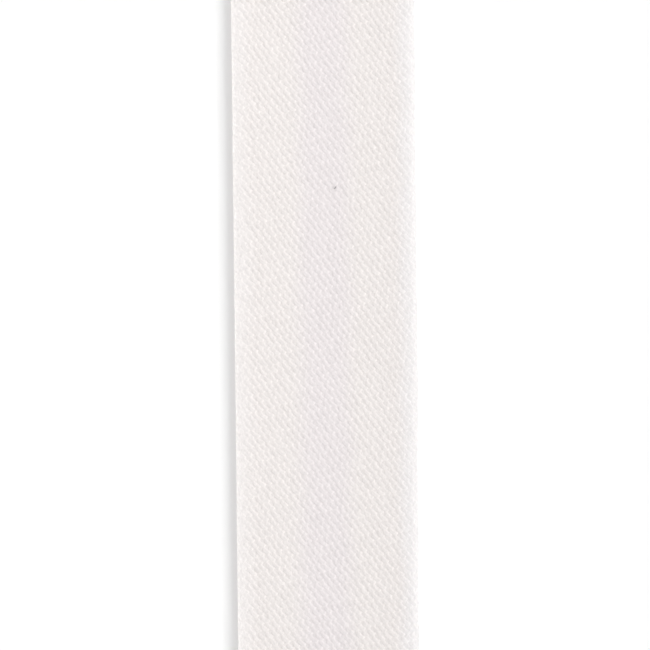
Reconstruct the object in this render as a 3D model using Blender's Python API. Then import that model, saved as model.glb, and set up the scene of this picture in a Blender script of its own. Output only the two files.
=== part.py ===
"""Cut length of single-fold satin bias tape, lying flat with its right side up.

One strip of bias-cut satin, its two long edges folded under towards the middle.
Units are metres and +Z is up. The tape runs along Y, its face looks up, and the
origin is the middle of its underside, on the surface that it rests on.
"""

import math
from collections import namedtuple

import bpy

MM = 0.001

# Driving dimensions
TAPE_LENGTH = 75.0 * MM
TAPE_WIDTH = 14.97 * MM  # over both folded edges, halfway along
TAPER = 0.0045  # width gained for each unit of length towards +Y
LAYER = 0.45 * MM  # thickness of one layer of cloth
LAYER_GAP = 0.35 * MM  # air between the face and a turned-under edge
CROWN = 0.12 * MM  # rise of the face's middle above its folded edges

# Fineness of the mesh
STATIONS = 31
FOLD_STEPS = 8
FACE_STEPS = 14
TURN_UNDER_STEPS = 3

# Worked out from the driving dimensions
EDGE_HEIGHT = 2 * LAYER + LAYER_GAP
FOLD_RADIUS = (LAYER + LAYER_GAP) / 2  # to the middle of the cloth
LOW_LEVEL = LAYER / 2
HIGH_LEVEL = EDGE_HEIGHT - LAYER / 2

# Each long edge: its side, how much cloth is turned under, how far the raw edge
# wanders and over what length, and how far the folded edge bows out, where and
# over what length
LongEdge = namedtuple("LongEdge", "side turned_under wander wander_length bow bow_place bow_length")
LONG_EDGES = (
    LongEdge(-1, 6.6 * MM, 0.16 * MM, 41 * MM, 0.01 * MM, -12 * MM, 14 * MM),
    LongEdge(+1, 6.2 * MM, 0.22 * MM, 57 * MM, 0.07 * MM, 9.5 * MM, 9 * MM),
)

# Each cut end: its place along the tape and how far the cut slants across it
CutEnd = namedtuple("CutEnd", "place slant")
CUT_ENDS = (
    CutEnd(-TAPE_LENGTH / 2, 0.012),
    CutEnd(+TAPE_LENGTH / 2, -0.008),
)


def half_width(edge, y):
    """Distance from the middle line to the outside of a folded edge at y."""
    bow = edge.bow * math.exp(-(((y - edge.bow_place) / edge.bow_length) ** 2))
    return (TAPE_WIDTH + TAPER * y) / 2 + bow


def raw_edge_distance(edge, y):
    """Distance from the middle line to the raw edge of the turned-under cloth."""
    wander = edge.wander * math.sin(2 * math.pi * y / edge.wander_length)
    return half_width(edge, y) - edge.turned_under - wander


def edge_section(edge, y):
    """Middle of the cloth from a raw edge round its fold to the face, as (x, z)."""
    fold_centre = half_width(edge, y) - FOLD_RADIUS - LAYER / 2
    raw_edge = raw_edge_distance(edge, y)
    points = []
    for step in range(TURN_UNDER_STEPS):
        across = raw_edge + (fold_centre - raw_edge) * step / TURN_UNDER_STEPS
        points.append((edge.side * across, LOW_LEVEL))
    for step in range(FOLD_STEPS + 1):
        turn = math.pi * step / FOLD_STEPS
        across = fold_centre + FOLD_RADIUS * math.sin(turn)
        points.append((edge.side * across, LOW_LEVEL + FOLD_RADIUS * (1 - math.cos(turn))))
    return points


def tape_section(y):
    """Middle of the cloth across the whole tape at y, from raw edge to raw edge."""
    left = edge_section(LONG_EDGES[0], y)
    right = edge_section(LONG_EDGES[1], y)
    start, end = left[-1][0], right[-1][0]
    face = []
    for step in range(1, FACE_STEPS):
        place = step / FACE_STEPS
        rise = CROWN * math.sin(math.pi * place) ** 2
        face.append((start + (end - start) * place, HIGH_LEVEL + rise))
    return left + face + right[::-1]


def station_point(x, z, place):
    """Point of a section at a place from 0 to 1 along the tape, between its cut ends."""
    near, far = CUT_ENDS
    start = near.place + near.slant * x
    end = far.place + far.slant * x
    return (x, start + (end - start) * place, z)


def centred(points):
    """The points moved along X and Y so that the tape's box is centred on the origin."""
    middles = []
    for axis in (0, 1):
        values = [point[axis] for point in points]
        middles.append((min(values) + max(values)) / 2)
    return [(x - middles[0], y - middles[1], z) for x, y, z in points]


def folded_cloth_mesh():
    """The folded strip as one surface through the middle of the cloth."""
    points = []
    for station in range(STATIONS):
        place = station / (STATIONS - 1)
        section = tape_section(TAPE_LENGTH * (place - 0.5))
        points += [station_point(x, z, place) for x, z in section]
    across = len(points) // STATIONS
    faces = []
    for station in range(STATIONS - 1):
        for column in range(across - 1):
            corner = station * across + column
            faces.append((corner, corner + 1, corner + across + 1, corner + across))
    mesh = bpy.data.meshes.new("bias_tape")
    mesh.from_pydata(centred(points), [], faces)
    mesh.shade_smooth()
    mesh.set_sharp_from_angle(angle=math.radians(40))
    return mesh


def satin_material():
    """Off-white satin."""
    material = bpy.data.materials.new("white_satin")
    material.use_nodes = True
    shader = material.node_tree.nodes["Principled BSDF"]
    shader.inputs["Base Color"].default_value = (0.87, 0.83, 0.81, 1.0)
    shader.inputs["Roughness"].default_value = 0.45
    shader.inputs["Metallic"].default_value = 0.0
    return material


def add_bias_tape():
    """The tape: the folded surface given the cloth's thickness."""
    tape = bpy.data.objects.new("bias_tape", folded_cloth_mesh())
    bpy.context.scene.collection.objects.link(tape)
    tape.data.materials.append(satin_material())
    thickness = tape.modifiers.new("cloth_thickness", "SOLIDIFY")
    thickness.thickness = LAYER
    thickness.offset = 0.0
    thickness.use_even_offset = True
    return tape


def main():
    for old in list(bpy.data.objects):
        bpy.data.objects.remove(old, do_unlink=True)
    add_bias_tape()


main()
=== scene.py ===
"""Looks of a cut length of off-white satin bias tape that lies flat with both long edges turned under.

The tape is one strip of bias-cut satin. Its ground cloth is a thin folded sheet, and the satin's
floats, the short stretches of warp that lie on its right side, are woven over that sheet one by one.
Units are metres, +Z is up, and the tape runs along Y with its right side up.
"""

import logging
import math
from dataclasses import dataclass, field
from enum import Enum
from typing import Dict, List, Sequence, Tuple

import bpy
import numpy as np
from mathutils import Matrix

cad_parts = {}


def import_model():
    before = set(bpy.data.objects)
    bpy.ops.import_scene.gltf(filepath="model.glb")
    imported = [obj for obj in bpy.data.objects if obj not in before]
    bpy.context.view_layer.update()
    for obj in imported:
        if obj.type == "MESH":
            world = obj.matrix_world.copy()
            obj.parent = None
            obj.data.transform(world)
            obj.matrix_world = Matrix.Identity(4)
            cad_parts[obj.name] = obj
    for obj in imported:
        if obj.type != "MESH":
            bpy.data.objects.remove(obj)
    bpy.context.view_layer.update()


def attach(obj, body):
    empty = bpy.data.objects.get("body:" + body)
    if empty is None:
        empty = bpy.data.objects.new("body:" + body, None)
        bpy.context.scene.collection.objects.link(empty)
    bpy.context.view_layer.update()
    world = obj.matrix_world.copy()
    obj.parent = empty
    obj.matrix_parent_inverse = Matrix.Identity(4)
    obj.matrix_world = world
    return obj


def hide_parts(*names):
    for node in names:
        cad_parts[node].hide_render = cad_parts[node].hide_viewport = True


MM = 0.001
MICRON = 0.000001
BODY = "root"
NODE = "bias_tape"
Colour = Tuple[float, float, float, float]
Socket = bpy.types.NodeSocket

# Where the photo shows the loose fibre, in pixels from the frame's left side and from its top.
LINT_IN_FRAME = (335.2, 187.5)

# Length of one wave of the wave texture at a scale of 1.
WAVE_LENGTH = math.pi / 10

# Width of a filament's line as a share of its length.
LINE_SHARE = 0.06

log = logging.getLogger("bias_tape")


class Region(Enum):
    """Part of the folded tape that a layer of floats covers."""

    LEFT_FACE = "left_face_floats"
    RIGHT_FACE = "right_face_floats"
    LEFT_UNDER = "left_turned_under_floats"
    RIGHT_UNDER = "right_turned_under_floats"


@dataclass(frozen=True)
class LongEdge:
    """One long edge: how much cloth it turns under, and how unevenly it was folded."""

    turned_under: float
    wander: float
    wander_length: float
    bow: float
    bow_place: float
    bow_length: float


def side_of(across: np.ndarray) -> np.ndarray:
    """The side of the middle line that places lie on: -1 on the left and +1 on the right."""
    return np.where(across < 0, -1.0, 1.0)


@dataclass
class FoldedForm:
    """The folded shape of the tape, which turns a place on the flat strip into a place in space.

    A place on the flat strip is its distance across from the middle line and its distance along.
    The face's share fades over fade_width and ends at fade_end past a fold's start, both in radii.
    """

    length: float
    edge_height: float = 1.25 * MM
    width: float = 14.93 * MM
    taper: float = 0.0045
    left: LongEdge = LongEdge(6.6 * MM, 0.16 * MM, 41 * MM, 0.01 * MM, -12 * MM, 14 * MM)
    right: LongEdge = LongEdge(6.2 * MM, 0.22 * MM, 57 * MM, 0.07 * MM, 9.5 * MM, 9 * MM)
    near_slant: float = 0.012
    fade_width: float = 2.2
    fade_end: float = 0.5

    @property
    def radius(self) -> float:
        """Outer radius of both folds."""
        return self.edge_height / 2

    def _pick(self, side: np.ndarray, name: str) -> np.ndarray:
        """One size of the long edge on each side, for an array of sides."""
        return np.where(side < 0, getattr(self.left, name), getattr(self.right, name))

    def half_width(self, side: np.ndarray, along: np.ndarray) -> np.ndarray:
        """Distance from the middle line to the outside of a fold.

        Args:
            side: -1 on the left and +1 on the right.
            along: places along the tape.

        Returns:
            The distance for each place.
        """
        away = (along - self._pick(side, "bow_place")) / self._pick(side, "bow_length")
        return (self.width + self.taper * along) / 2 + self._pick(side, "bow") * np.exp(-(away**2))

    def fold_start(self, side: np.ndarray, along: np.ndarray) -> np.ndarray:
        """Distance across the flat strip at which the face begins to turn down into the fold."""
        return self.half_width(side, along) - self.radius

    def raw_edge(self, side: np.ndarray, along: np.ndarray) -> np.ndarray:
        """Distance across the flat strip, round the fold, to the raw edge underneath.

        Args:
            side: -1 on the left and +1 on the right.
            along: places along the tape.

        Returns:
            The distance for each place.
        """
        wave = np.sin(2 * math.pi * along / self._pick(side, "wander_length"))
        under = self._pick(side, "turned_under") + self._pick(side, "wander") * wave - self.radius
        return self.fold_start(side, along) + math.pi * self.radius + under

    def _turn(self, across: np.ndarray, along: np.ndarray) -> np.ndarray:
        """How far round a fold places on the strip lie, from 0 on the face to pi underneath."""
        past_start = np.abs(across) - self.fold_start(side_of(across), along)
        return np.clip(past_start / self.radius, 0.0, math.pi)

    def folded_across(self, across: np.ndarray, along: np.ndarray, depth: np.ndarray) -> np.ndarray:
        """Places across the folded tape for places on the flat strip.

        Args:
            across: distances across the flat strip from its middle line.
            along: distances along it.
            depth: distances below the tape's outside.

        Returns:
            The distance from the middle line for each place.
        """
        side = side_of(across)
        reach = np.abs(across)
        start = self.fold_start(side, along)
        beyond = np.maximum(reach - start - math.pi * self.radius, 0.0)
        outwards = (self.radius - depth) * np.sin(self._turn(across, along))
        return side * (np.minimum(reach, start) + outwards - beyond)

    def face_share(self, across: np.ndarray, along: np.ndarray) -> np.ndarray:
        """How much places belong to the face.

        Args:
            across: distances across the flat strip from its middle line.
            along: distances along it.

        Returns:
            1 over most of the face, down to 0 in the folds and beyond.
        """
        start = self.fold_start(side_of(across), along)
        before_end = start + self.fade_end * self.radius - np.abs(across)
        share = np.clip(before_end / (self.fade_width * self.radius), 0.0, 1.0)
        return share * share * (3 - 2 * share)

    def end_cuts(self, x: np.ndarray) -> Tuple[np.ndarray, float]:
        """Places along the tape of the slanting near cut, at places across, and of the square far cut."""
        return -self.length / 2 + self.near_slant * x, self.length / 2

    def place(self, across: np.ndarray, along: np.ndarray, depth: np.ndarray) -> np.ndarray:
        """Points in space for places on the flat strip.

        Args:
            across: distances across the flat strip from its middle line.
            along: distances along it.
            depth: distances below the tape's outside, towards the inside of the fold.

        Returns:
            An array of points, one row each.
        """
        x = self.folded_across(across, along, depth)
        level = self.radius + (self.radius - depth) * np.cos(self._turn(across, along))
        return np.stack([x, along, level], axis=-1)


@dataclass(frozen=True)
class SatinWeave:
    """Sizes of the satin's floats and of the lattice that they lie on, in the flat strip.

    Angles are measured from straight across the tape, and turn towards its far end. A float bends
    as the square of the place along it less bend_middle, which keeps its middle where it is.
    """

    beside_step: float = 0.498 * MM
    beside_angle: float = math.radians(15.3)
    next_step: float = 0.709 * MM
    next_angle: float = math.radians(-55.9)
    float_angle: float = math.radians(-43.8)
    half_length: float = 0.418 * MM
    half_width: float = 0.209 * MM
    widening: float = 0.16
    bend: float = 0.84
    bend_middle: float = 0.3
    far_rise: float = 0.41
    relief: float = 0.142 * MM
    fold_relief: float = 0.5
    end_bluntness: float = 4.8
    flank_bluntness: float = 0.71

    def step(self, beside: np.ndarray, nearer: np.ndarray) -> Tuple[np.ndarray, np.ndarray]:
        """Places of the lattice's points on the flat strip.

        Args:
            beside: steps to the float beside.
            nearer: steps to the next row, nearer the near end.

        Returns:
            The places across and along.
        """
        across = beside * self.beside_step * math.cos(self.beside_angle)
        across = across + nearer * self.next_step * math.cos(self.next_angle)
        along = beside * self.beside_step * math.sin(self.beside_angle)
        along = along + nearer * self.next_step * math.sin(self.next_angle)
        return across, along

    def local_relief(self, form: FoldedForm, across: np.ndarray, along: np.ndarray) -> np.ndarray:
        """The floats' height over the ground at places on the strip, lower where a fold stretches them."""
        share = form.face_share(across, along)
        return self.relief * (self.fold_relief + (1 - self.fold_relief) * share)

    def lines_passed(self, beside: float, nearer: float) -> Tuple[float, float]:
        """How often even lines are passed per metre across and per metre along the strip.

        Args:
            beside: how many of them one step to the float beside passes.
            nearer: how many one step to the next row passes.

        Returns:
            The lines passed per metre across and along.
        """
        steps = np.array([self.step(1.0, 0.0), self.step(0.0, 1.0)])
        across, along = np.linalg.solve(steps, np.array([beside, nearer]))
        return float(across), float(along)

    def lattice(self, half_across: float, half_along: float) -> Tuple[np.ndarray, np.ndarray]:
        """All the lattice's points within a rectangle round the strip's middle.

        Args:
            half_across: half the rectangle's size across the strip.
            half_along: half its size along the strip.

        Returns:
            The points' places across and along the strip.
        """
        longest = math.hypot(half_across, half_along)
        count = int(2 * longest / min(self.beside_step, self.next_step))
        steps = np.arange(-count, count + 1)
        beside, nearer = (grid.ravel() for grid in np.meshgrid(steps, steps, indexing="ij"))
        across, along = self.step(beside, nearer)
        inside = (np.abs(across) < half_across) & (np.abs(along) < half_along)
        return across[inside], along[inside]


@dataclass(frozen=True)
class Unevenness:
    """How far real floats stray from an even lattice, and how unevenly the cuts shorten them.

    Changes of size and relief, and least_short, are shares of the whole.
    """

    seed: int = 7
    place: float = 0.020 * MM
    size: float = 0.09
    most_size: float = 0.2
    angle: float = math.radians(3.0)
    relief: float = 0.18
    least_relief: float = 0.5
    drift: float = 0.045 * MM
    drift_lengths: Tuple[float, ...] = (3.1 * MM, 5.3 * MM, 9.7 * MM)
    cut_short: float = 0.02 * MM
    least_short: float = 0.2


def drifted(across: np.ndarray, along: np.ndarray, uneven: Unevenness) -> Tuple[np.ndarray, np.ndarray]:
    """The lattice's points moved by the slow wander of the threads.

    Args:
        across: places across the flat strip.
        along: places along it.
        uneven: how far the threads wander, and over what lengths.

    Returns:
        The moved places across and along.
    """
    chance = np.random.RandomState(uneven.seed)
    moved = [across.copy(), along.copy()]
    for length in uneven.drift_lengths:
        for axis in (0, 1):
            heading, phase = chance.uniform(0, 2 * math.pi, 2)
            travel = across * math.cos(heading) + along * math.sin(heading)
            moved[axis] += uneven.drift / 2 * np.sin(2 * math.pi * travel / length + phase)
    return moved[0], moved[1]


@dataclass(frozen=True)
class Streaks:
    """One kind of soft streak: how much lighter it can be, its size and its direction."""

    change: float
    length: float
    width: float
    angle: float


@dataclass(frozen=True)
class Lines:
    """Even faint lines along threads.

    Beside and nearer say how many of them one step of the lattice passes, change how strong they
    are, and phase where they start.
    """

    beside: float
    nearer: float
    change: float
    phase: float


@dataclass(frozen=True)
class Whites:
    """The satin's whites, and the streaks and lines over them.

    They are cooler in the middle, where one layer lies, and warmer over the folded sides. The
    edges are lighter and whiter as painted sheen, most on the right, where it is a painted
    highlight from the key light. The outermost cloth of each fold is a little darker as painted
    shade, and the face is lighter to the left and darker to the right as painted light and shade.
    """

    middle: Colour = (0.795, 0.751, 0.753, 1.0)
    sides: Colour = (0.814, 0.774, 0.757, 1.0)
    # Painted sheen on the left edge and a painted highlight on the right edge: both edge whites are lighter
    # and whiter than the sides.
    left_edge_painted_sheen: Colour = (0.820, 0.785, 0.772, 1.0)
    right_edge_painted_highlight: Colour = (0.840, 0.814, 0.812, 1.0)
    middle_reach: Tuple[float, float] = (0.9 * MM, 3.0 * MM)
    edge_sheen_reach: Tuple[float, float] = (5.5 * MM, 7.0 * MM)
    left_to_right: float = 1.0 * MM
    # Painted shade: the outermost cloth of each fold is made darker over this reach.
    fold_shade_reach: Tuple[float, float] = (6.95 * MM, 7.20 * MM)
    fold_painted_shade: float = -0.024
    wander: float = 1.2 * MM
    patch_size: float = 6 * MM
    lengthwise_change: float = 0.65
    # Painted light and shade across the face: lighter to the left and darker to the right, as a change for
    # each metre.
    crosswise_painted_light: float = -2.2
    filling_streaks: Streaks = Streaks(0.25, 0.28 * MM, 0.14 * MM, math.radians(74))
    row_streaks: Streaks = Streaks(0.19, 0.62 * MM, 0.15 * MM, math.radians(-62))
    filling_ribs: Lines = Lines(1.0, 2.0, 0.006, 0.53)
    row_ends: Lines = Lines(0.0, 1.0, 0.0067, 2.26)


@dataclass(frozen=True)
class SatinFinish:
    """Finish of the floats: how each differs in lightness, their filaments and their sheen."""

    thread_change: float = 0.015
    # Painted light: the share by which a float's colour is lifted where it sinks into the shade of the
    # ground.
    painted_hollow_light: float = 0.136
    filament_change: float = 0.03
    filament_width: float = 0.016 * MM
    filament_depth: float = 2.0 * MICRON
    roughness_low: float = 0.27
    roughness_high: float = 0.39
    sheen: float = 1.0
    sheen_roughness: float = 0.45
    specular: float = 0.013


@dataclass(frozen=True)
class GroundFinish:
    """Finish of the ground cloth under the floats, whose fine cross threads show between them."""

    # The satin's white, lifted a little as painted light in the gaps between the floats, where they shade
    # the ground.
    lightness_with_painted_light: float = 1.015
    thread_pitch: float = 0.11 * MM
    thread_depth: float = 12 * MICRON
    thread_gloss: float = 0.1
    roughness: float = 0.75
    sheen: float = 0.15
    sheen_roughness: float = 0.6


@dataclass(frozen=True)
class LintFinish:
    """Finish of the loose dark fibre."""

    dark: Colour = (0.10, 0.10, 0.11, 1.0)
    light: Colour = (0.20, 0.19, 0.20, 1.0)
    patch_scale: float = 9000.0
    roughness: float = 0.7


@dataclass(frozen=True)
class FloorFinish:
    """Finish of the white floor."""

    white: Colour = (0.907, 0.907, 0.907, 1.0)
    roughness: float = 0.9


class NodeMaker:
    """Short ways to add nodes and links to one node tree.

    Where a value is asked for, it is a number, a colour or the output that gives it.
    """

    def __init__(self, tree: bpy.types.NodeTree) -> None:
        """Keeps the tree."""
        self.tree = tree

    def feed(self, target: Socket, value: object) -> None:
        """Gives an input its value.

        Args:
            target: the input.
            value: what it is set to or linked from.
        """
        if isinstance(value, Socket):
            self.tree.links.new(value, target)
        else:
            target.default_value = value

    def fill(self, node: bpy.types.Node, **values: object) -> bpy.types.Node:
        """Gives a node's inputs their values.

        Args:
            node: the node.
            **values: input names, with underscores for spaces, and their values.

        Returns:
            The node.
        """
        for name, value in values.items():
            self.feed(node.inputs[name.replace("_", " ")], value)
        return node

    def node(self, kind: str, **values: object) -> bpy.types.Node:
        """Adds a node of the given type, and fills its inputs."""
        return self.fill(self.tree.nodes.new(kind), **values)

    def input(self, name: str) -> Socket:
        """The group's own input of that name."""
        return self.tree.nodes["in"].outputs[name]

    def output(self, name: str) -> Socket:
        """The group's own output of that name."""
        return self.tree.nodes["out"].inputs[name]

    def place(self) -> Socket:
        """The output that gives each place on a piece."""
        return self.node("ShaderNodeTexCoord").outputs["Object"]

    def attribute(self, name: str, output: str) -> Socket:
        """Reads an attribute of the mesh.

        Args:
            name: the attribute's name.
            output: Fac or Vector.

        Returns:
            That output.
        """
        made = self.node("ShaderNodeAttribute")
        made.attribute_name = name
        return made.outputs[output]

    def noise(self, vector: Socket, **values: object) -> Socket:
        """Soft noise between 0 and 1."""
        return self.node("ShaderNodeTexNoise", Vector=vector, **values).outputs["Fac"]

    def bump(self, height: Socket, distance: float) -> Socket:
        """Direction of a surface that has small heights over it."""
        return self.node("ShaderNodeBump", Strength=1.0, Distance=distance, Height=height).outputs["Normal"]

    def turned(self, vector: Socket, angle: float) -> Socket:
        """Turns a vector about the Z axis.

        Args:
            vector: the output that gives it.
            angle: how far.

        Returns:
            The turned vector's output.
        """
        made = self.node("ShaderNodeVectorRotate", Vector=vector, Angle=angle)
        made.rotation_type = "Z_AXIS"
        return made.outputs["Vector"]

    def vector(self, operation: str, first: Socket, second: object) -> Socket:
        """Adds a Vector Math node.

        Args:
            operation: SCALE, MULTIPLY or DOT_PRODUCT.
            first: the output that gives the first vector.
            second: the second vector's value, or the scale's.

        Returns:
            The node's output.
        """
        made = self.node("ShaderNodeVectorMath")
        made.operation = operation
        self.feed(made.inputs[0], first)
        self.feed(made.inputs["Scale" if operation == "SCALE" else 1], second)
        return made.outputs["Value" if operation == "DOT_PRODUCT" else "Vector"]

    def math(self, operation: str, *values: object) -> Socket:
        """Adds a Math node.

        Args:
            operation: the node's operation.
            *values: the values of its inputs.

        Returns:
            The node's output.
        """
        made = self.node("ShaderNodeMath")
        made.operation = operation
        for place, value in enumerate(values):
            self.feed(made.inputs[place], value)
        return made.outputs[0]

    def ramp(self, value: Socket, low: float, high: float) -> Socket:
        """Spreads a value smoothly over 0 to 1.

        Args:
            value: the output that gives it.
            low: what becomes 0.
            high: what becomes 1.

        Returns:
            The spread value's output.
        """
        made = self.node("ShaderNodeMapRange", Value=value, From_Min=low, From_Max=high)
        made.interpolation_type = "SMOOTHSTEP"
        return made.outputs["Result"]

    def mix(self, share: object, first: object, second: object) -> Socket:
        """Mixes two colours.

        Args:
            share: how much of the second colour.
            first: the first colour's value.
            second: the second colour's value.

        Returns:
            The mixed colour's output.
        """
        made = self.node("ShaderNodeMix")
        made.data_type = "RGBA"
        sockets = {s.identifier: s for s in made.inputs}
        for name, value in (("Factor_Float", share), ("A_Color", first), ("B_Color", second)):
            self.feed(sockets[name], value)
        return next(s for s in made.outputs if s.identifier == "Result_Color")

    def group(self, group: bpy.types.NodeTree, **values: object) -> Socket:
        """Places a group in this tree.

        Args:
            group: the group.
            **values: its inputs' values, as for fill.

        Returns:
            The group's first output.
        """
        made = self.node("ShaderNodeGroup")
        made.node_tree = group
        return self.fill(made, **values).outputs[0]


class NodeGroups:
    """The cloth's effects, each built once as a node group."""

    def __init__(self, whites: Whites, weave: SatinWeave) -> None:
        """Builds both groups.

        Args:
            whites: the satin's whites, streaks and lines.
            weave: gives the lines their direction and pitch.
        """
        self.whites = whites
        self.weave = weave
        self.tone = self._slow_tone()
        self.filaments = self._filaments()

    @staticmethod
    def _new(name: str, sockets: Tuple[Tuple[str, str, str], ...]) -> bpy.types.NodeTree:
        """An empty shader group with the named sockets.

        Args:
            name: the group's name.
            sockets: rows of name, INPUT or OUTPUT, and socket type.

        Returns:
            The group, with its input and output nodes.
        """
        group = bpy.data.node_groups.new(name, "ShaderNodeTree")
        for title, way, kind in sockets:
            group.interface.new_socket(name=title, in_out=way, socket_type=kind)
        group.nodes.new("NodeGroupInput").name = "in"
        group.nodes.new("NodeGroupOutput").name = "out"
        return group

    def _slow_tone(self) -> bpy.types.NodeTree:
        """The satin's colour at each place: its white, made lighter or darker by all that changes it.

        Returns:
            The group.
        """
        group = self._new(
            "slow_tone",
            (
                ("Lightness", "INPUT", "NodeSocketFloat"),
                ("Thread Change", "INPUT", "NodeSocketFloat"),
                ("Hollow Light", "INPUT", "NodeSocketFloat"),
                ("Color", "OUTPUT", "NodeSocketColor"),
            ),
        )
        whites = self.whites
        make = NodeMaker(group)
        place = make.place()
        axes = make.node("ShaderNodeSeparateXYZ", Vector=place).outputs
        changes: List[Tuple[Socket, object]] = [
            (axes["Y"], whites.lengthwise_change),
            # Painted light and shade across the face.
            (axes["X"], whites.crosswise_painted_light),
            # Painted light in the floats' shaded hollows.
            (make.attribute("painted_light_hollow_mask", "Fac"), make.input("Hollow Light")),
            (make.attribute("thread_tone", "Fac"), make.input("Thread Change")),
        ]
        for streaks in (whites.filling_streaks, whites.row_streaks):
            swing = make.math("SUBTRACT", self._streaks(make, place, streaks), 0.5)
            changes.append((swing, streaks.change))
        for lines in (whites.filling_ribs, whites.row_ends):
            changes.append((self._lines(make, place, lines), lines.change))
        # Painted shade on the outermost cloth of each fold.
        fold_shade = make.ramp(make.math("ABSOLUTE", axes["X"]), *whites.fold_shade_reach)
        changes.append((fold_shade, whites.fold_painted_shade))
        level = make.input("Lightness")
        for amount, change in changes:
            level = make.math("MULTIPLY_ADD", amount, change, level)
        white = self._white(make, place, axes["X"])
        make.feed(make.output("Color"), make.vector("SCALE", white, level))
        return group

    def _white(self, make: NodeMaker, place: Socket, x: Socket) -> Socket:
        """The white of each zone across the tape, with borders that wander.

        Args:
            make: the maker of the group's nodes.
            place: the output that gives the place.
            x: the output that gives the place across the tape.

        Returns:
            The white's output.
        """
        whites = self.whites
        patches = make.noise(place, Detail=1.0, Roughness=0.4, Scale=1 / whites.patch_size)
        wander = make.math("MULTIPLY_ADD", patches, whites.wander, -whites.wander / 2)
        from_middle = make.math("ADD", make.math("ABSOLUTE", x), wander)
        right = make.ramp(x, -whites.left_to_right, whites.left_to_right)
        inner = make.mix(make.ramp(from_middle, *whites.middle_reach), whites.middle, whites.sides)
        # Painted sheen and highlight at the edges, stronger on the right.
        painted_edge_sheen = make.mix(right, whites.left_edge_painted_sheen, whites.right_edge_painted_highlight)
        return make.mix(make.ramp(from_middle, *whites.edge_sheen_reach), inner, painted_edge_sheen)

    @staticmethod
    def _streaks(make: NodeMaker, place: Socket, streaks: Streaks) -> Socket:
        """Soft streaks, where some threads are thicker or thinner, between 0 and 1.

        Args:
            make: the maker of the group's nodes.
            place: the output that gives the place.
            streaks: their sizes and direction.

        Returns:
            The streaks' output.
        """
        turned = make.turned(place, -streaks.angle)
        stretched = make.vector("MULTIPLY", turned, (streaks.width / streaks.length, 1.0, 1.0))
        return make.noise(stretched, Detail=2.0, Roughness=0.6, Scale=1 / streaks.width)

    def _lines(self, make: NodeMaker, place: Socket, lines: Lines) -> Socket:
        """Faint even lines over the weave, between -1 and 1.

        Args:
            make: the maker of the group's nodes.
            place: the output that gives the place.
            lines: which lines, and their phase.

        Returns:
            The lines' output.
        """
        across, along = self.weave.lines_passed(lines.beside, lines.nearer)
        turns = make.vector("DOT_PRODUCT", place, (2 * math.pi * across, 2 * math.pi * along, 0.0))
        return make.math("SINE", make.math("ADD", turns, lines.phase))

    def _filaments(self) -> bpy.types.NodeTree:
        """Fine lines along a thread, from its own place attribute, as a mask.

        Returns:
            The group.
        """
        group = self._new(
            "filaments",
            (
                ("Line Width", "INPUT", "NodeSocketFloat"),
                ("Mask", "OUTPUT", "NodeSocketFloat"),
            ),
        )
        make = NodeMaker(group)
        own = make.attribute("thread_place", "Vector")
        stretched = make.vector("MULTIPLY", own, (LINE_SHARE, 1.0, 1.0))
        scale = make.math("DIVIDE", 1.0, make.input("Line Width"))
        make.feed(make.output("Mask"), make.noise(stretched, Detail=2.0, Roughness=0.6, Scale=scale))
        return group


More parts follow.
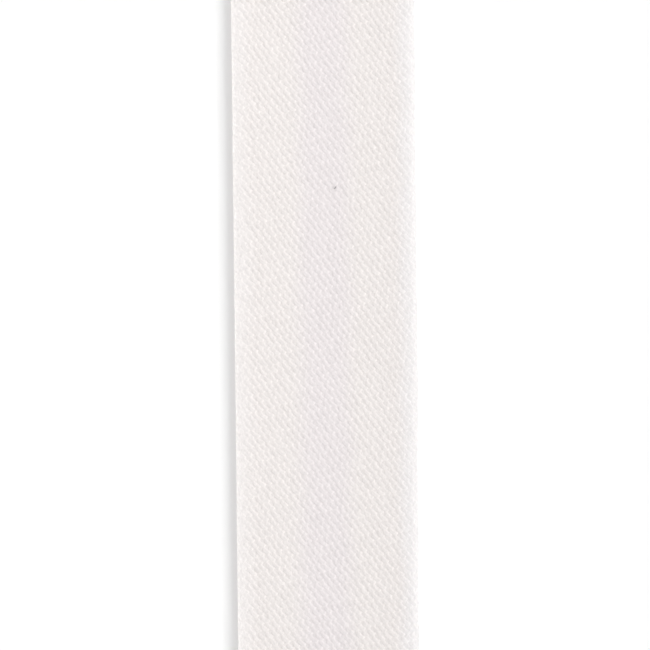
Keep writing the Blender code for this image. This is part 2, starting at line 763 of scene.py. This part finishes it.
class Materials:
    """Builds the material of each finish."""

    def __init__(self, groups: NodeGroups) -> None:
        """Keeps the shared node groups."""
        self.groups = groups

    @staticmethod
    def _new(name: str) -> Tuple[bpy.types.Material, NodeMaker, bpy.types.Node]:
        """An empty node material.

        Args:
            name: the material's name.

        Returns:
            The material, its node maker and its Principled shader.
        """
        material = bpy.data.materials.new(name)
        material.use_nodes = True
        shader = material.node_tree.nodes["Principled BSDF"]
        return material, NodeMaker(material.node_tree), shader

    def satin(self, finish: SatinFinish) -> bpy.types.Material:
        """Material of the floats: white filaments with a soft sheen.

        Args:
            finish: the floats' finish.

        Returns:
            The material.
        """
        material, make, shader = self._new("satin_floats")
        tone = make.group(
            self.groups.tone,
            Lightness=1.0,
            Thread_Change=finish.thread_change,
            Hollow_Light=finish.painted_hollow_light,
        )
        lines = make.group(self.groups.filaments, Line_Width=finish.filament_width)
        swing = make.math("SUBTRACT", lines, 0.5)
        level = make.math("MULTIPLY_ADD", swing, finish.filament_change * 2, 1.0)
        span = finish.roughness_high - finish.roughness_low
        make.fill(
            shader,
            Base_Color=make.vector("SCALE", tone, level),
            Roughness=make.math("MULTIPLY_ADD", lines, span, finish.roughness_low),
            Normal=make.bump(lines, finish.filament_depth),
            Specular_IOR_Level=finish.specular,
            Sheen_Weight=finish.sheen,
            Sheen_Roughness=finish.sheen_roughness,
        )
        return material

    def ground(self, finish: GroundFinish, weave: SatinWeave) -> bpy.types.Material:
        """Material of the ground cloth: fine cross threads in the satin's whites.

        Args:
            finish: the ground's finish.
            weave: gives the threads' direction.

        Returns:
            The material.
        """
        material, make, shader = self._new("satin_ground")
        turned = make.turned(make.attribute("thread_place", "Vector"), -weave.float_angle)
        waves: List[Socket] = []
        for direction in ("X", "Y"):
            wave = make.node("ShaderNodeTexWave", Distortion=1.2, Detail=1.0, Detail_Scale=2.0)
            wave.bands_direction = direction
            make.fill(wave, Vector=turned, Scale=WAVE_LENGTH / finish.thread_pitch)
            waves.append(wave.outputs["Fac"])
        threads = make.math("MAXIMUM", *waves)
        tone = self.groups.tone
        make.fill(
            shader,
            Base_Color=make.group(tone, Lightness=finish.lightness_with_painted_light, Thread_Change=0.0, Hollow_Light=0.0),
            Roughness=make.math("MULTIPLY_ADD", threads, -finish.thread_gloss, finish.roughness),
            Normal=make.bump(threads, finish.thread_depth),
            Sheen_Weight=finish.sheen,
            Sheen_Roughness=finish.sheen_roughness,
        )
        return material

    def lint(self, finish: LintFinish) -> bpy.types.Material:
        """Material of the loose fibre: dark grey, lighter in places.

        Args:
            finish: the fibre's finish.

        Returns:
            The material.
        """
        material, make, shader = self._new("dark_lint")
        patches = make.noise(make.place(), Scale=finish.patch_scale)
        grey = make.mix(patches, finish.dark, finish.light)
        make.fill(shader, Base_Color=grey, Roughness=finish.roughness)
        return material

    def floor(self, finish: FloorFinish) -> bpy.types.Material:
        """Material of the floor, dull and the same all over.

        Args:
            finish: the floor's finish.

        Returns:
            The material.
        """
        material, make, shader = self._new("white_floor")
        make.fill(shader, Base_Color=finish.white, Roughness=finish.roughness, Specular_IOR_Level=0.0)
        return material


def new_piece(name: str, points: np.ndarray, faces: Sequence[Sequence[int]]) -> bpy.types.Object:
    """A smooth mesh object in the scene.

    Args:
        name: the object's name.
        points: its points, one row each.
        faces: the point numbers of each face.

    Returns:
        The object.
    """
    mesh = bpy.data.meshes.new(name)
    mesh.from_pydata(points.tolist(), [], faces)
    mesh.shade_smooth()
    piece = bpy.data.objects.new(name, mesh)
    bpy.context.scene.collection.objects.link(piece)
    return piece


def give_attribute(piece: bpy.types.Object, name: str, kind: str, values: np.ndarray) -> None:
    """Stores a value on every point of a piece.

    Args:
        piece: the mesh object.
        name: the attribute's name.
        kind: FLOAT or FLOAT_VECTOR.
        values: one value or one row for each point.
    """
    attribute = piece.data.attributes.new(name, kind, "POINT")
    slot_name = "value" if kind == "FLOAT" else "vector"
    attribute.data.foreach_set(slot_name, values.astype(np.float32).ravel())


@dataclass
class GroundCloth:
    """The thin folded sheet that carries the floats, from raw edge to raw edge."""

    form: FoldedForm
    weave: SatinWeave
    thickness: float = 0.20 * MM
    stations: int = 101
    under_steps: int = 10
    fold_steps: int = 12
    face_steps: int = 36

    def _columns(self, along: np.ndarray) -> np.ndarray:
        """Places across the flat strip of the sheet's columns, from raw edge to raw edge.

        Args:
            along: places along the strip of the stations.

        Returns:
            One row for each station.
        """
        rows: List[np.ndarray] = []
        for side in (-1.0, 1.0):
            sides = np.full_like(along, side)
            start = self.form.fold_start(sides, along)
            end = start + math.pi * self.form.radius
            raw = self.form.raw_edge(sides, along)
            half = [start * step / self.face_steps * 2 for step in range(self.face_steps // 2)]
            half += [start + (end - start) * step / self.fold_steps for step in range(self.fold_steps)]
            half += [end + (raw - end) * step / self.under_steps for step in range(self.under_steps + 1)]
            rows.append(np.stack(half, axis=-1) * side)
        return np.concatenate([rows[0][:, :0:-1], rows[1]], axis=1)

    def build(self) -> bpy.types.Object:
        """The sheet as one closed thin body.

        Returns:
            The sheet, with its thickness as a modifier.
        """
        share = np.linspace(0.0, 1.0, self.stations)
        along = (share - 0.5) * self.form.length
        across = self._columns(along)
        count = across.shape[1]
        along_grid = np.repeat(along[:, None], count, axis=1)
        depth = self.weave.local_relief(self.form, across, along_grid)
        x = self.form.folded_across(across, along_grid, depth)
        near, far = self.form.end_cuts(x)
        along_grid = near + (far - near) * share[:, None]
        points = self.form.place(across, along_grid, depth)
        corner = (np.arange(self.stations - 1)[:, None] * count + np.arange(count - 1)).ravel()
        faces = np.stack([corner, corner + 1, corner + count + 1, corner + count], axis=-1)
        sheet = new_piece("tape_cloth", points.reshape(-1, 3), faces.tolist())
        flat = np.stack([across, along_grid, np.zeros_like(across)], axis=-1)
        give_attribute(sheet, "thread_place", "FLOAT_VECTOR", flat.reshape(-1, 3))
        layer = sheet.modifiers.new("cloth_thickness", "SOLIDIFY")
        layer.thickness = self.thickness
        layer.offset = -1.0
        layer.use_even_offset = True
        return sheet


@dataclass
class WovenFloats:
    """The satin's floats: short rounded stretches of warp, each a shell whose rim is sunk in the sheet.

    The lattice is laid lattice_reach to each side and spare past both ends, and floats stand only
    where it lies on the cloth, or up to most_beyond past a cut.
    """

    form: FoldedForm
    weave: SatinWeave
    uneven: Unevenness
    stations: Tuple[float, ...] = (-0.95, -0.8, -0.45, 0.0, 0.45, 0.8, 0.95)
    flanks: Tuple[float, ...] = (-1.0, -0.82, -0.45, 0.0, 0.45, 0.82, 1.0)
    tip: float = 1.04
    sunk: float = 0.6
    least_rise: float = 0.01
    lattice_reach: float = 16.5 * MM
    spare: float = 1.0 * MM
    least_inside: float = 0.10 * MM
    most_beyond: float = 0.24 * MM
    cut_round: float = 0.12 * MM
    face_turn: float = 0.75 * math.pi
    _centres: Dict[Region, np.ndarray] = field(default_factory=dict)

    def _all_centres(self) -> np.ndarray:
        """Middle of every float on the strip.

        Returns:
            Rows of place across and along.
        """
        across, along = self.weave.lattice(self.lattice_reach, self.form.length / 2 + self.spare)
        across, along = drifted(across, along, self.uneven)
        raw = self.form.raw_edge(side_of(across), along) - self.least_inside
        near, far = self.form.end_cuts(self.form.folded_across(across, along, np.zeros_like(across)))
        inside = (np.abs(across) < raw) & (along > near - self.most_beyond)
        inside &= along < far + self.most_beyond
        return np.stack([across[inside], along[inside]], axis=-1)

    def _split(self) -> Dict[Region, np.ndarray]:
        """The floats' middles, sorted into regions.

        Returns:
            The middles in each region, as rows of place across and along.
        """
        if not self._centres:
            centres = self._all_centres()
            side = side_of(centres[:, 0])
            limit = self.form.fold_start(side, centres[:, 1]) + self.face_turn * self.form.radius
            on_face = np.abs(centres[:, 0]) <= limit
            self._centres = {
                Region.LEFT_FACE: centres[on_face & (side < 0)],
                Region.RIGHT_FACE: centres[on_face & (side > 0)],
                Region.LEFT_UNDER: centres[~on_face & (side < 0)],
                Region.RIGHT_UNDER: centres[~on_face & (side > 0)],
            }
        return self._centres

    def _outline(self) -> np.ndarray:
        """One float's points.

        Returns:
            Rows of place along it and across it, from about -1 to 1, and rise, up to 1 and less
            than 0 where it is sunk.
        """
        rows: List[Tuple[float, float, float]] = [(-self.tip, 0.0, -self.sunk)]
        for place in self.stations:
            full = math.sqrt(1 - abs(place) ** self.weave.end_bluntness)
            for flank in self.flanks:
                rise = (full**2 * (1 - flank**2)) ** self.weave.flank_bluntness
                rows.append((place, flank * full, rise if rise > self.least_rise else -self.sunk))
        rows.append((self.tip, 0.0, -self.sunk))
        return np.array(rows)

    def _faces(self) -> List[Tuple[int, ...]]:
        """One float's triangles, facing out.

        Returns:
            The point numbers of each triangle.
        """
        wide = len(self.flanks)
        last = 1 + wide * len(self.stations)
        faces: List[Tuple[int, ...]] = []
        for step in range(wide - 1):
            faces.append((0, 1 + step + 1, 1 + step))
            faces.append((last, last - wide + step, last - wide + step + 1))
            for station in range(len(self.stations) - 1):
                low = 1 + station * wide + step
                high = low + wide
                faces.append((low, low + 1, high + 1))
                faces.append((low, high + 1, high))
        return faces

    def _cut(
        self, across: np.ndarray, along: np.ndarray, rise: np.ndarray, short: np.ndarray
    ) -> Tuple[np.ndarray, np.ndarray, np.ndarray]:
        """Cuts floats off at the raw edges and the ends, and rounds them down towards the ends' cuts.

        Args:
            across: places of the floats' points across the flat strip.
            along: places along it.
            rise: their heights over the ground on the face.
            short: how far short of the cuts each float stays.

        Returns:
            The places across and along, and the depths below the tape's outside.
        """
        side = side_of(across)
        across = side * np.minimum(np.abs(across), self.form.raw_edge(side, along) - short)
        near, far = self.form.end_cuts(self.form.folded_across(across, along, np.zeros_like(across)))
        beyond = np.maximum(near + short - along, along - far + short).clip(0)
        along = np.clip(along, near + short, far - short)
        left = 1 - (beyond / self.cut_round).clip(0, 1)
        level = left * rise / self.weave.relief - (1 - left) * self.sunk
        return across, along, self.weave.local_relief(self.form, across, along) * (1 - level)

    def build(self, region: Region) -> bpy.types.Object:
        """All the floats of one region as one mesh.

        Args:
            region: the part of the folded tape.

        Returns:
            The mesh object.
        """
        weave, uneven = self.weave, self.uneven
        centres = self._split()[region]
        count = len(centres)
        chance = np.random.RandomState(uneven.seed + list(Region).index(region) + 1)
        centres = centres + chance.normal(0, uneven.place, centres.shape)
        size = 1 + chance.normal(0, uneven.size, (count, 2)).clip(-uneven.most_size, uneven.most_size)
        angle = weave.float_angle + chance.normal(0, uneven.angle, count)
        lower = np.abs(chance.normal(0, uneven.relief, count))
        relief = weave.relief * (1 - lower).clip(uneven.least_relief, 1)
        tone = chance.uniform(-1, 1, count)
        short = chance.uniform(uneven.least_short, 1.0, (count, 1)) * uneven.cut_short

        shape = self._outline()
        widen = 1 + weave.widening * shape[:, 0]
        bend = weave.bend * (shape[:, 0] ** 2 - weave.bend_middle)
        lengthwise = shape[:, 0] * weave.half_length * size[:, :1]
        crosswise = (shape[:, 1] * widen + bend) * weave.half_width * size[:, 1:]
        cos, sin = np.cos(angle)[:, None], np.sin(angle)[:, None]
        across = centres[:, :1] + lengthwise * cos - crosswise * sin
        along = centres[:, 1:] + lengthwise * sin + crosswise * cos
        rise = shape[:, 2] * (1 + weave.far_rise * (shape[:, 0] - 1)) * relief[:, None]
        across, along, depth = self._cut(across, along, rise, short)

        points = self.form.place(across, along, depth)
        faces = np.array(self._faces())[None] + (np.arange(count) * len(shape))[:, None, None]
        piece = new_piece(region.value, points.reshape(-1, 3), faces.reshape(-1, 3).tolist())
        own = np.stack(np.broadcast_arrays(lengthwise, crosswise, tone[:, None] * MM), axis=-1)
        give_attribute(piece, "thread_place", "FLOAT_VECTOR", own.reshape(-1, 3))
        give_attribute(piece, "thread_tone", "FLOAT", np.repeat(tone, len(shape)))
        # Painted light mask: 0 on a float's top, rising to 1 where it sinks into shade at its rim.
        hollow = 1 - np.tile(shape[:, 2].clip(0, 1), count)
        give_attribute(piece, "painted_light_hollow_mask", "FLOAT", hollow)
        return piece


@dataclass
class LintFibre:
    """A short dark fibre that lies on the face."""

    form: FoldedForm
    across: float
    along: float
    length: float = 0.34 * MM
    thickness: float = 0.05 * MM
    heading: float = math.radians(54)
    bend: float = 0.05 * MM
    blunt: float = 1.02
    stations: int = 7
    sides: int = 6

    def build(self) -> bpy.types.Object:
        """The fibre as a thin tapered tube along a slight curve.

        Returns:
            The mesh object.
        """
        share = np.linspace(-1.0, 1.0, self.stations)
        cos, sin = math.cos(self.heading), math.sin(self.heading)
        lengthwise = share * self.length / 2
        sideways = self.bend * (share**2 - 0.5)
        across = self.across + lengthwise * cos - sideways * sin
        along = self.along + lengthwise * sin + sideways * cos
        middle = self.form.place(across, along, np.zeros_like(across))
        radius = self.thickness / 2 * np.sqrt(self.blunt - share**2)
        middle[:, 2] += self.thickness / 2
        turn = np.arange(self.sides) / self.sides * 2 * math.pi
        ring = np.stack([-sin * np.cos(turn), cos * np.cos(turn), np.sin(turn)], axis=-1)
        points = middle[:, None, :] + radius[:, None, None] * ring[None]
        faces: List[Tuple[int, ...]] = []
        for station in range(self.stations - 1):
            for step in range(self.sides):
                after = (step + 1) % self.sides
                low, high = station * self.sides, (station + 1) * self.sides
                faces.append((low + step, low + after, high + after, high + step))
        last = (self.stations - 1) * self.sides
        caps = [tuple(range(self.sides))[::-1], tuple(range(last, last + self.sides))]
        return new_piece("lint_fibre", points.reshape(-1, 3), faces + caps)


@dataclass(frozen=True)
class SoftLight:
    """A far, wide light: its strength, its height over the floor, where it stands and how wide it looks.

    All but the strength are angles. Its place is the turn from the tape's right towards its far end.
    """

    strength: float
    height: float
    place: float
    spread: float


@dataclass
class Studio:
    """Floor, lights and camera, set up as the photograph was: straight above, lit from the right.

    Picture is the frame's side in pixels, and pixel the size of one on the tape's face. The
    distances of the frame from the far end and from the middle line are in pixels too.
    """

    form: FoldedForm
    picture: float = 650.0
    pixel: float = 0.0817 * MM
    end_above_frame: float = 2.4
    middle_offset: float = 0.62
    lean: float = math.radians(0.527)
    lens: float = 180.0
    sensor: float = 36.0
    key: SoftLight = SoftLight(1.359, math.radians(48.2), math.radians(-2.8), math.radians(30.8))
    table: SoftLight = SoftLight(0.47, math.radians(33.9), math.radians(-2.8), math.radians(10))
    edge: SoftLight = SoftLight(1.488, math.radians(-1.1), math.radians(180), math.radians(12))
    sky: float = 0.728
    floor_size: float = 6.0

    def photo_place(self, right: float, down: float) -> Tuple[float, float]:
        """Place on the tape of a pixel of the photo's frame.

        Args:
            right: pixels from the frame's left side.
            down: pixels from its top.

        Returns:
            The place across and along.
        """
        x = (right - self.picture / 2) * self.pixel
        y = (self.picture / 2 - down) * self.pixel
        cos, sin = math.cos(self.lean), math.sin(self.lean)
        middle_x, middle_y = self.aim()
        return middle_x + x * cos + y * sin, middle_y - x * sin + y * cos

    def aim(self) -> Tuple[float, float]:
        """Point of the tape that the camera looks at."""
        below_end = (self.picture / 2 + self.end_above_frame) * self.pixel
        return -self.middle_offset * self.pixel, self.form.length / 2 - below_end

    def floor(self, material: bpy.types.Material) -> bpy.types.Object:
        """Adds the floor.

        Args:
            material: its finish.

        Returns:
            The floor.
        """
        half = self.floor_size / 2
        corners = np.array([(-half, -half, 0), (half, -half, 0), (half, half, 0), (-half, half, 0)])
        floor = new_piece("floor", corners, [(0, 1, 2, 3)])
        floor.data.materials.append(material)
        return floor

    @staticmethod
    def _light(name: str, light: SoftLight) -> bpy.types.Object:
        """Adds one soft light.

        Args:
            name: the light's name.
            light: its strength, place and spread.

        Returns:
            The light.
        """
        lamp = bpy.data.lights.new(name, "SUN")
        lamp.energy = light.strength
        lamp.angle = light.spread
        lit = bpy.data.objects.new(name, lamp)
        bpy.context.scene.collection.objects.link(lit)
        lit.rotation_euler = (0.0, math.pi / 2 - light.height, light.place)
        return lit

    def lights(self, pieces: List[bpy.types.Object], floor: bpy.types.Object) -> None:
        """Adds the key light, the room's even light, and one light each for the table and the cloth alone.

        Args:
            pieces: the cloth's pieces.
            floor: the floor.
        """
        self._light("key_light", self.key)
        floor_only = bpy.data.collections.new("floor_only")
        floor_only.objects.link(floor)
        self._light("table_light", self.table).light_linking.receiver_collection = floor_only
        cloth_only = bpy.data.collections.new("cloth_only")
        for piece in pieces:
            cloth_only.objects.link(piece)
        edge = self._light("edge_light", self.edge)
        edge.light_linking.receiver_collection = cloth_only
        edge.light_linking.blocker_collection = cloth_only
        world = bpy.data.worlds.new("room")
        world.use_nodes = True
        background = world.node_tree.nodes["Background"]
        background.inputs["Color"].default_value = (1.0, 1.0, 1.0, 1.0)
        background.inputs["Strength"].default_value = self.sky
        bpy.context.scene.world = world

    def camera(self) -> None:
        """Adds the camera above the face and sets how its picture is developed."""
        lens = bpy.data.cameras.new("camera")
        lens.lens = self.lens
        lens.sensor_width = self.sensor
        camera = bpy.data.objects.new("camera", lens)
        bpy.context.scene.collection.objects.link(camera)
        distance = self.picture * self.pixel * self.lens / self.sensor
        x, y = self.aim()
        camera.location = (x, y, self.form.edge_height + distance)
        camera.rotation_euler = (0.0, 0.0, -self.lean)
        lens.clip_start = distance / 10
        bpy.context.scene.camera = camera
        bpy.context.scene.view_settings.view_transform = "Standard"


def dress(piece: bpy.types.Object, material: bpy.types.Material) -> bpy.types.Object:
    """Gives a piece its material and makes it ride on the tape's body.

    Args:
        piece: the mesh object.
        material: its finish.

    Returns:
        The piece.
    """
    piece.data.materials.append(material)
    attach(piece, BODY)
    log.info("%s: %d faces", piece.name, len(piece.data.polygons))
    return piece


def main() -> None:
    """Builds the tape, the floor, the lights and the camera."""
    logging.basicConfig(level=logging.INFO, format="%(name)s: %(message)s")
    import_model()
    form = FoldedForm(length=75.0 * MM)
    weave = SatinWeave()
    studio = Studio(form)
    materials = Materials(NodeGroups(Whites(), weave))

    satin = materials.satin(SatinFinish())
    woven = WovenFloats(form, weave, Unevenness())
    floats: List[bpy.types.Object] = []
    for region in Region:
        floats.append(dress(woven.build(region), satin))

    ground = GroundCloth(form, weave)
    cloth = dress(ground.build(), materials.ground(GroundFinish(), weave))
    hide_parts(NODE)

    across, along = studio.photo_place(*LINT_IN_FRAME)
    lint = dress(LintFibre(form, across, along).build(), materials.lint(LintFinish()))

    floor = studio.floor(materials.floor(FloorFinish()))
    studio.lights([cloth, *floats], floor)
    studio.camera()


if __name__ == "__main__":
    main()
